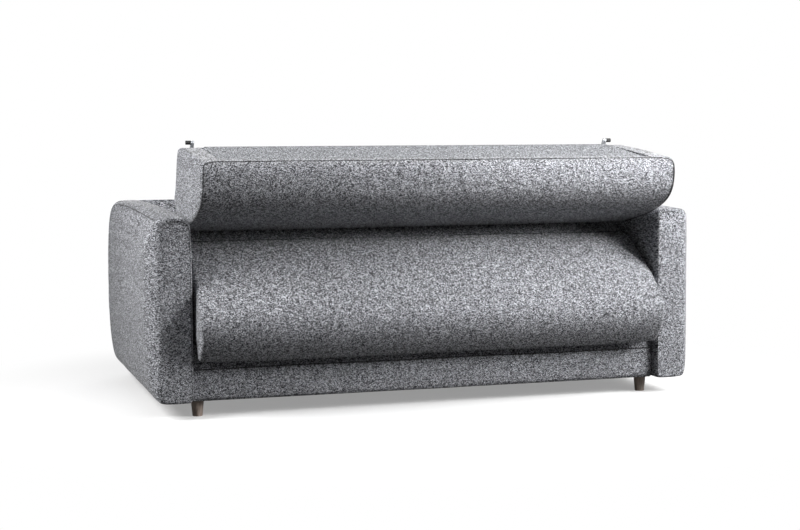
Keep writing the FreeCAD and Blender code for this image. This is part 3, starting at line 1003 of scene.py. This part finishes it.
@dataclass
class BasePanels:
    """The upholstered front panel, and the rear panel that wraps behind both arms."""

    welt_z: float = 0.1475
    lean: float = 13 * MM

    def build(self, finishes: Finishes) -> None:
        """Makes both panels and rides them on the base.

        Args:
            finishes: the materials.
        """
        self.front(finishes)
        self.rear(finishes)

    def front(self, finishes: Finishes) -> None:
        """The front panel: it leans back above a welt, under the seat's lip.

        Args:
            finishes: the materials.
        """
        low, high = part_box("front_cover")
        y_mid = (low[1] + high[1]) / 2 + 4 * MM
        outline = [(low[1] + 1 * MM, low[2]), (high[1], low[2]), (high[1], (low[2] + high[2]) / 2),
                   (high[1], high[2]), (low[1] + self.lean, high[2]),
                   (low[1] + self.lean * 0.8, (self.welt_z + high[2]) / 2),
                   (low[1] + 2 * MM, self.welt_z + 4 * MM), (low[1], self.welt_z - 2 * MM),
                   (low[1] - 2 * MM, (low[2] + self.welt_z) / 2)]
        padding = Padding(outline, ((y_mid, low[2] + 0.02), (y_mid, high[2] - 0.02)), low[0], high[0],
                          roll=3 * MM, puff=0.2 * MM, pull=0.0, crown=0.5 * MM, count=160, wrinkle=0.5 * MM)
        panel = block("front_panel_upholstery", padding, (0, 1, 2), finishes.tweed, seed=5)
        # The board stands behind a skin of 4 mm, and above the welt behind the leaning part
        skin = 4 * MM
        tools = [block_tool((-PANEL_RECESS_X, low[1] + skin, low[2] + skin),
                            (PANEL_RECESS_X, high[1] + CUT_PAST, self.welt_z)),
                 block_tool((-PANEL_RECESS_X, low[1] + 19 * MM, self.welt_z - 1 * MM),
                            (PANEL_RECESS_X, high[1] + CUT_PAST, high[2] - skin))]
        for side in Side:
            a, b = side.span(SEAT_POCKET_X)
            tools.append(block_tool((a, low[1] - CUT_PAST, high[2] - 42 * MM),
                                    (b, high[1] + CUT_PAST, high[2] + CUT_PAST)))
        carve(panel, tools)
        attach(panel, "base")
        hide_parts("front_cover")
        x = np.linspace(low[0] + 4 * MM, high[0] - 4 * MM, 100)
        sway = 0.8 * MM * np.sin(x * 11)
        path = np.stack([x, np.full_like(x, low[1] - 0.2 * MM), self.welt_z + sway], axis=1)
        welt = tube("front_panel_welt", path, 2.2 * MM, finishes.seam)
        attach(welt, "base")

    def rear(self, finishes: Finishes) -> None:
        """The rear panel: the arms' own outer line carried round the back edge.

        Args:
            finishes: the materials.
        """
        low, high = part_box("rear_cover")
        arm = Arm(Side.RIGHT, high=high[2])
        right = arm.outer_line()
        outline = right + [(-x, z) for x, z in right[::-1]]
        padding = Padding(outline, ((-0.70, 0.33), (0.70, 0.33)), low[1] + 0.6 * MM, high[1],
                          roll=1 * MM, roll_high=30 * MM, puff=0.5 * MM, pull=0.0, crown=0.0,
                          count=900, rings=24, wrinkle=0.6 * MM, cuts=2)
        panel = block("rear_panel_upholstery", padding, (1, 0, 2), finishes.tweed, seed=6)
        skin = 8 * MM
        carve(panel, [block_tool((-REAR_RECESS_X, low[1] + skin, 0.0),
                                 (REAR_RECESS_X, high[1] - skin, high[2] - 2 * skin))])
        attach(panel, "base")
        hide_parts("rear_cover")


@dataclass
class Mattress:
    """One of the three mattress pads: soft edges and a quilted face."""

    node_name: str
    body: str
    place: Place
    half_width: float
    low: Pair
    high: Pair

    def build(self, finishes: Finishes) -> None:
        """Makes the pad in its own plane, turns it into place and rides it on its body.

        Args:
            finishes: the materials.
        """
        (y0, z0), (y1, z1) = self.low, self.high
        edge = 5 * MM
        outline = [(y0 + edge, z0), (y1 - edge, z0), (y1, z0 + edge), (y1, z1 - edge), (y1 - edge, z1),
                   (y0 + edge, z1), (y0, z1 - edge), (y0, z0 + edge)]
        z_mid = (z0 + z1) / 2
        spine = ((y0 + 0.025, z_mid), (y1 - 0.025, z_mid))
        padding = Padding(outline, spine, -self.half_width, self.half_width, roll=edge, puff=0.5 * MM,
                          pull=0.0, crown=0.0, count=140, rings=70, wrinkle=0.4 * MM)
        pad = block(self.node_name + "_quilted", padding, (0, 1, 2), finishes.ticking, self.place, seed=9)
        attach(pad, self.body)
        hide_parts(self.node_name)


@dataclass
class Studio:
    """Floor, soft lights and the camera at the photograph's viewing angle."""

    lens_mm: float = 69.92
    sensor_mm: float = 36.0
    yaw: float = 0.2989
    pitch: float = 0.0782
    roll: float = -0.0062
    eye: Triple = (-1.5239, -4.5731 + FRAME_Y, 0.8221)
    floor_half: float = 30.0
    shade_reach: Pair = (0.95, 1.6)
    fill: float = 0.18

    def camera(self) -> None:
        """Places the camera, level with the sofa's back and a little to its left."""
        forward = Vector((math.sin(self.yaw) * math.cos(self.pitch),
                          math.cos(self.yaw) * math.cos(self.pitch), -math.sin(self.pitch)))
        right = Vector((math.cos(self.yaw), -math.sin(self.yaw), 0.0))
        up = right.cross(forward)
        right_rolled = right * math.cos(self.roll) + up * math.sin(self.roll)
        up_rolled = up * math.cos(self.roll) - right * math.sin(self.roll)
        data = bpy.data.cameras.new("camera")
        data.lens = self.lens_mm
        data.sensor_width = self.sensor_mm
        camera = bpy.data.objects.new("camera", data)
        bpy.context.scene.collection.objects.link(camera)
        turn = Matrix((right_rolled, up_rolled, -forward)).transposed().to_4x4()
        camera.matrix_world = Matrix.Translation(self.eye) @ turn
        bpy.context.scene.camera = camera

    def lamp(self, name: str, place: Triple, size: float, power: float,
             aim: Triple = (0.0, 0.0, 0.4), spread: float = 180.0) -> None:
        """Adds a square soft light that faces the sofa.

        Args:
            name: the lamp's name.
            place: its middle, metres.
            size: its edge, metres.
            power: watts.
            aim: the point that it faces.
            spread: the full angle of its beam, degrees.
        """
        data = bpy.data.lights.new(name, "AREA")
        data.size = size
        data.energy = power
        data.spread = math.radians(spread)
        lamp = bpy.data.objects.new(name, data)
        bpy.context.scene.collection.objects.link(lamp)
        way = Vector(aim) - Vector(place)
        turn = way.to_track_quat("-Z", "Y").to_matrix().to_4x4()
        lamp.matrix_world = Matrix.Translation(place) @ turn

    def floor(self) -> None:
        """Adds the pale floor, white to the camera except where the sofa shades it."""
        half = self.floor_half
        corners = np.array([[-half, -half, 0], [half, -half, 0], [half, half, 0], [-half, half, 0]], float)
        material = bpy.data.materials.new("pale_floor")
        material.use_nodes = True
        tree = material.node_tree
        shader = tree.nodes["Principled BSDF"]
        shader.inputs["Roughness"].default_value = 0.9
        # The floor is pale to the eye and greyer to the light that bounces off it
        eye = tree.nodes.new("ShaderNodeLightPath").outputs["Is Camera Ray"]
        shade = node(tree, "ShaderNodeMix", {"data_type": "RGBA"}, i0=eye, i6=linear("3c3c3c"),
                     i7=linear("fafafa"))
        tree.links.new(shade.outputs[2], shader.inputs["Base Color"])
        # Far from the sofa the camera sees plain white, so that the floor has no horizon
        coords = tree.nodes.new("ShaderNodeTexCoord").outputs["Object"]
        reach = node(tree, "ShaderNodeVectorMath", {"operation": "LENGTH"}, i0=coords)
        near, edge = self.shade_reach
        far = node(tree, "ShaderNodeMapRange", {"interpolation_type": "SMOOTHSTEP"},
                   Value=reach.outputs["Value"], From_Min=near, From_Max=edge, To_Min=0.3, To_Max=1.0)
        seen = node(tree, "ShaderNodeMath", {"operation": "MULTIPLY"}, i0=far.outputs["Result"], i1=eye)
        white = node(tree, "ShaderNodeEmission", Color=linear("ffffff"))
        mixed = node(tree, "ShaderNodeMixShader", i0=seen.outputs[0], i1=shader.outputs["BSDF"],
                     i2=white.outputs["Emission"])
        tree.links.new(mixed.outputs[0], tree.nodes["Material Output"].inputs["Surface"])
        floor = add_mesh("floor", corners, np.array([[0, 1, 2, 3]]), material, smooth=False)

    def world(self) -> None:
        """Lights all sides evenly, and shows white to the camera and in gloss."""
        world = bpy.data.worlds.new("studio")
        world.use_nodes = True
        bpy.context.scene.world = world
        tree = world.node_tree
        tree.nodes.clear()
        path = tree.nodes.new("ShaderNodeLightPath")
        seen = node(tree, "ShaderNodeMath", {"operation": "MAXIMUM"}, i0=path.outputs["Is Camera Ray"],
                    i1=path.outputs["Is Glossy Ray"])
        seen = node(tree, "ShaderNodeMath", {"operation": "MAXIMUM"}, i0=seen.outputs[0],
                    i1=path.outputs["Is Transmission Ray"])
        soft = node(tree, "ShaderNodeBackground", Color=linear("ffffff"), Strength=self.fill)
        white = node(tree, "ShaderNodeBackground", Color=linear("ffffff"), Strength=1.0)
        mixed = node(tree, "ShaderNodeMixShader", i0=seen.outputs[0], i1=soft.outputs[0],
                     i2=white.outputs[0])
        node(tree, "ShaderNodeOutputWorld", Surface=mixed.outputs[0])

    def build(self) -> None:
        """Sets the whole studio up."""
        self.camera()
        self.floor()
        self.world()
        self.lamp("key", (2.3, -1.8, 1.65), 1.6, 155.0)
        self.lamp("back light", (1.9, -2.3, 1.5), 0.5, 3.6, (0.45, -0.5, 0.98), 34.0)
        self.lamp("side", (-2.2, -0.6, 1.5), 1.0, 52.0)
        self.lamp("top", (-0.2, 0.9, 3.0), 2.0, 5.0)
        self.lamp("rear", (0.8, 3.0, 0.9), 2.0, 34.0)
        bpy.context.scene.view_settings.view_transform = "Standard"


def main(frame: dict) -> None:
    """Builds the pieces in order.
    """
    Studio().build()
    finishes = Finishes()
    finishes.dress_nodes(frame)
    for side in Side:
        Arm(side).build(finishes)
        LOG.info("arm %s", side.name)
    BasePanels().build(finishes)
    LOG.info("panels")
    seat = SeatUnit()
    seat.build(finishes)
    LOG.info("seat")
    back = BackUnit()
    back.build(finishes)
    LOG.info("back")
    Mattress("seat_mattress", "seat", seat.place, PAD_HALF_WIDTH, (0.026, 0.001),
             (0.566, 0.041)).build(finishes)
    Mattress("back_mattress", "back", back.place, PAD_HALF_WIDTH, (-0.083, -0.044),
             (0.233, -0.002)).build(finishes)
    # The head section's pad keeps 1 mm inside its CAD box
    flat = Place(0.0, 0.0, 0.0)
    low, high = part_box("head_mattress")
    Mattress("head_mattress", "head_section", flat, high[0] - MM, (low[1] + MM, low[2] + MM),
             (high[1] - MM, high[2] - MM)).build(finishes)
    LOG.info("mattress pads")


if __name__ == "__main__":
    logging.basicConfig(level=logging.INFO)
    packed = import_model()
    main(packed)
